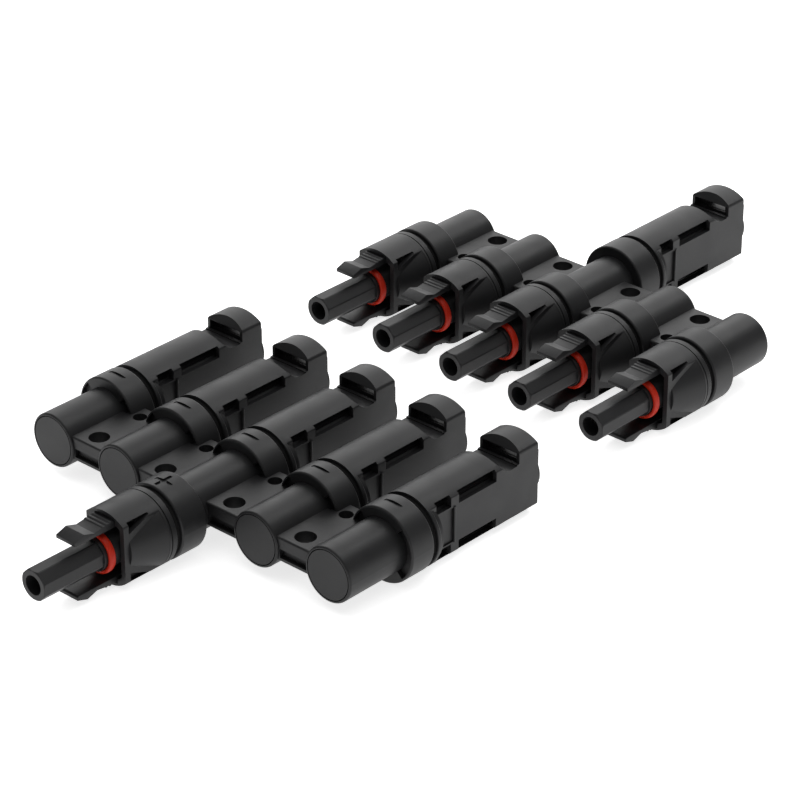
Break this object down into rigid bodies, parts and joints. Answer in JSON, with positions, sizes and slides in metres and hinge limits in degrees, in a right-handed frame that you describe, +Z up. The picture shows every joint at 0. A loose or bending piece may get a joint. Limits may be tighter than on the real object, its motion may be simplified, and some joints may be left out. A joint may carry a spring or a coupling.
{
  "type": "solar cable connector",
  "caption": "Mating pair of multi-way solar cable branch connectors: a block of socket shells and a block of latching plugs, each with a lead connector on its back.",
  "frame": {"origin": "middle of the whole pair in X and Y, on the surface that the collars rest on", "axes": "+Y runs from the socket block's lead plug to the plug block's lead socket, +X across the tubes, +Z up with the release hoods on top"},
  "size_m": [0.1116, 0.256, 0.0208],
  "materials": {
    "body_moulding": "satin moulded",
    "housing_moulding": "satin moulded",
    "gasket_rubber": "matt",
    "seal_silicone": "smooth",
    "tinned_copper": "tin plated"
  },
  "bodies": {
    "socket_block": {"socket_block_body": "body_moulding", "socket_block_end_caps": "body_moulding", "socket_block_busbar": "tinned_copper", "socket_block_gaskets": "gasket_rubber", "socket_shell_1": "housing_moulding", "socket_pin_1": "tinned_copper", "socket_shell_2": "housing_moulding", "socket_pin_2": "tinned_copper", "socket_shell_3": "housing_moulding", "socket_pin_3": "tinned_copper", "socket_shell_4": "housing_moulding", "socket_pin_4": "tinned_copper", "socket_shell_5": "housing_moulding", "socket_pin_5": "tinned_copper", "lead_plug_housing": "housing_moulding", "lead_plug_contact": "tinned_copper", "lead_plug_oring": "seal_silicone"},
    "plug_block": {"plug_block_body": "body_moulding", "plug_block_end_caps": "body_moulding", "plug_block_busbar": "tinned_copper", "plug_block_gaskets": "gasket_rubber", "plug_housing_1": "housing_moulding", "plug_contact_1": "tinned_copper", "plug_oring_1": "seal_silicone", "plug_housing_2": "housing_moulding", "plug_contact_2": "tinned_copper", "plug_oring_2": "seal_silicone", "plug_housing_3": "housing_moulding", "plug_contact_3": "tinned_copper", "plug_oring_3": "seal_silicone", "plug_housing_4": "housing_moulding", "plug_contact_4": "tinned_copper", "plug_oring_4": "seal_silicone", "plug_housing_5": "housing_moulding", "plug_contact_5": "tinned_copper", "plug_oring_5": "seal_silicone", "lead_socket_shell": "housing_moulding", "lead_socket_pin": "tinned_copper"},
    "lead_finger_upper": {"lead_plug_finger_upper": "housing_moulding"},
    "lead_finger_lower": {"lead_plug_finger_lower": "housing_moulding"},
    "finger_upper_1": {"plug_finger_upper_1": "housing_moulding"},
    "finger_lower_1": {"plug_finger_lower_1": "housing_moulding"},
    "finger_upper_2": {"plug_finger_upper_2": "housing_moulding"},
    "finger_lower_2": {"plug_finger_lower_2": "housing_moulding"},
    "finger_upper_3": {"plug_finger_upper_3": "housing_moulding"},
    "finger_lower_3": {"plug_finger_lower_3": "housing_moulding"},
    "finger_upper_4": {"plug_finger_upper_4": "housing_moulding"},
    "finger_lower_4": {"plug_finger_lower_4": "housing_moulding"},
    "finger_upper_5": {"plug_finger_upper_5": "housing_moulding"},
    "finger_lower_5": {"plug_finger_lower_5": "housing_moulding"}
  },
  "joints": [
    {"name": "mating_slide", "type": "slide", "parent": "socket_block", "child": "plug_block", "axis": [0, 1, 0], "range_m": [-0.0355, 0.05]},
    {"name": "lead_finger_upper_flex", "type": "hinge", "parent": "socket_block", "child": "lead_finger_upper", "pos_m": [0, -0.09985, 0.01715], "axis": [1, 0, 0], "range_deg": [0, 6], "stiffness_Nm_per_rad": 0.5},
    {"name": "lead_finger_lower_flex", "type": "hinge", "parent": "socket_block", "child": "lead_finger_lower", "pos_m": [0, -0.09985, 0.00235], "axis": [-1, 0, 0], "range_deg": [0, 6], "stiffness_Nm_per_rad": 0.5},
    {"name": "finger_upper_1_flex", "type": "hinge", "parent": "plug_block", "child": "finger_upper_1", "pos_m": [-0.046, 0.04145, 0.01715], "axis": [1, 0, 0], "range_deg": [0, 6], "stiffness_Nm_per_rad": 0.5},
    {"name": "finger_lower_1_flex", "type": "hinge", "parent": "plug_block", "child": "finger_lower_1", "pos_m": [-0.046, 0.04145, 0.00235], "axis": [-1, 0, 0], "range_deg": [0, 6], "stiffness_Nm_per_rad": 0.5},
    {"name": "finger_upper_2_flex", "type": "hinge", "parent": "plug_block", "child": "finger_upper_2", "pos_m": [-0.023, 0.04145, 0.01715], "axis": [1, 0, 0], "range_deg": [0, 6], "stiffness_Nm_per_rad": 0.5},
    {"name": "finger_lower_2_flex", "type": "hinge", "parent": "plug_block", "child": "finger_lower_2", "pos_m": [-0.023, 0.04145, 0.00235], "axis": [-1, 0, 0], "range_deg": [0, 6], "stiffness_Nm_per_rad": 0.5},
    {"name": "finger_upper_3_flex", "type": "hinge", "parent": "plug_block", "child": "finger_upper_3", "pos_m": [0, 0.04145, 0.01715], "axis": [1, 0, 0], "range_deg": [0, 6], "stiffness_Nm_per_rad": 0.5},
    {"name": "finger_lower_3_flex", "type": "hinge", "parent": "plug_block", "child": "finger_lower_3", "pos_m": [0, 0.04145, 0.00235], "axis": [-1, 0, 0], "range_deg": [0, 6], "stiffness_Nm_per_rad": 0.5},
    {"name": "finger_upper_4_flex", "type": "hinge", "parent": "plug_block", "child": "finger_upper_4", "pos_m": [0.023, 0.04145, 0.01715], "axis": [1, 0, 0], "range_deg": [0, 6], "stiffness_Nm_per_rad": 0.5},
    {"name": "finger_lower_4_flex", "type": "hinge", "parent": "plug_block", "child": "finger_lower_4", "pos_m": [0.023, 0.04145, 0.00235], "axis": [-1, 0, 0], "range_deg": [0, 6], "stiffness_Nm_per_rad": 0.5},
    {"name": "finger_upper_5_flex", "type": "hinge", "parent": "plug_block", "child": "finger_upper_5", "pos_m": [0.046, 0.04145, 0.01715], "axis": [1, 0, 0], "range_deg": [0, 6], "stiffness_Nm_per_rad": 0.5},
    {"name": "finger_lower_5_flex", "type": "hinge", "parent": "plug_block", "child": "finger_lower_5", "pos_m": [0.046, 0.04145, 0.00235], "axis": [-1, 0, 0], "range_deg": [0, 6], "stiffness_Nm_per_rad": 0.5}
  ]
}
